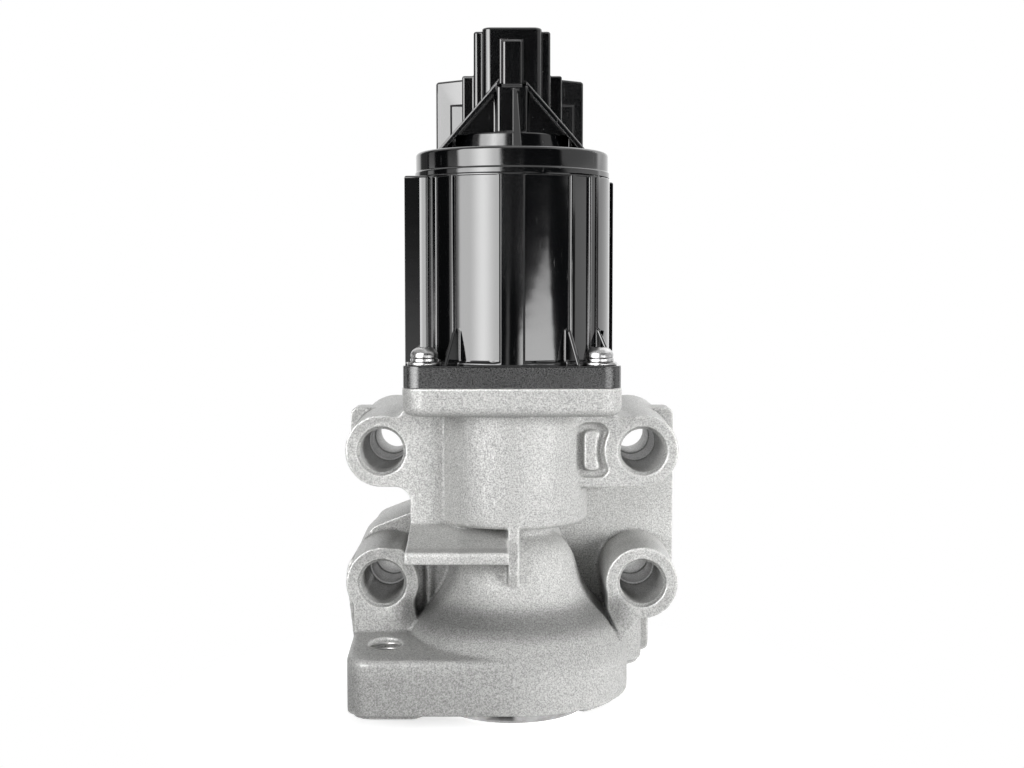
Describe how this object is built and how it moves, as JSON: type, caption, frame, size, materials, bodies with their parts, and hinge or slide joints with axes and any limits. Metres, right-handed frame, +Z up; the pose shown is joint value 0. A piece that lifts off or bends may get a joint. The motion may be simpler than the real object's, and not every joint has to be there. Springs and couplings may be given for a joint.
{
  "type": "exhaust gas recirculation valve",
  "caption": "Electric exhaust gas recirculation valve: motor-driven poppet in a die-cast body with a round inlet below, a round outlet behind and long through-bolt lugs.",
  "frame": {"origin": "centre of the lower mouth of the inlet ring, on the valve axis", "axes": "+Z up along the valve axis from the inlet to the motor, +Y back along the fixing bolts towards the engine, +X to the right seen from the front"},
  "size_m": [0.0923, 0.077, 0.181],
  "materials": {
    "cast_aluminium": "shot-blasted die casting, fine grain, brighter on worn edges",
    "machined_steel": "turned steel",
    "bronze": "sintered bronze",
    "seal_rubber": "moulded fluorine rubber",
    "spring_steel": "drawn spring wire",
    "zinc_steel": "bright zinc-plated steel",
    "black_plastic": "glossy glass-filled moulding, fine scratches",
    "lamination_steel": "stacked electrical steel",
    "bobbin_plastic": "natural moulded plastic",
    "copper_wire": "enamelled copper winding",
    "magnet": "bonded magnet",
    "bearing_steel": "ground and polished",
    "terminal_tin": "tin-plated blade"
  },
  "bodies": {
    "housing": {"valve_body": "cast_aluminium", "inlet_ring": "machined_steel", "stem_guide": "bronze", "stem_seal": "seal_rubber", "return_spring": "spring_steel", "motor_case": "black_plastic", "motor_base_plate": "zinc_steel", "shaft_guide": "bronze", "stator_core": "lamination_steel", "coil_bobbins": "bobbin_plastic", "coils": "copper_wire", "lower_bearing_outer_ring": "bearing_steel", "upper_bearing_outer_ring": "bearing_steel", "bearing_plate": "zinc_steel", "end_cover": "black_plastic", "connector_terminals": "terminal_tin", "sensor_spring": "spring_steel", "flat_washers": "zinc_steel", "spring_washers": "zinc_steel", "flange_screws": "zinc_steel"},
    "rotor": {"rotor_magnet": "magnet", "rotor_sleeve": "machined_steel", "lower_bearing_inner_ring": "bearing_steel", "lower_bearing_balls": "bearing_steel", "upper_bearing_inner_ring": "bearing_steel", "upper_bearing_balls": "bearing_steel"},
    "shaft": {"drive_shaft": "machined_steel"},
    "valve": {"valve_stem": "machined_steel", "valve_disc": "machined_steel", "spring_retainer": "zinc_steel", "stem_collets": "machined_steel"},
    "plunger": {"sensor_plunger": "bobbin_plastic"}
  },
  "joints": [
    {"name": "rotor_spin", "type": "hinge", "parent": "housing", "child": "rotor", "pos_m": [0, 0, 0.114], "axis": [0, 0, 1], "range_deg": [0, 720]},
    {"name": "shaft_slide", "type": "slide", "parent": "housing", "child": "shaft", "axis": [0, 0, -1], "range_m": [0, 0.008]},
    {"name": "valve_slide", "type": "slide", "parent": "housing", "child": "valve", "axis": [0, 0, -1], "range_m": [0, 0.008], "stiffness_N_per_m": 2000, "springref_m": -0.01, "deforming": ["return_spring"]},
    {"name": "plunger_slide", "type": "slide", "parent": "housing", "child": "plunger", "axis": [0, 0, -1], "range_m": [0, 0.008], "deforming": ["sensor_spring"]}
  ],
  "couplings": [
    {"joint": "rotor_spin", "follows": "valve_slide", "rad_per_m": 1570.8},
    {"joint": "shaft_slide", "follows": "valve_slide", "ratio": 1},
    {"joint": "plunger_slide", "follows": "valve_slide", "ratio": 1}
  ]
}
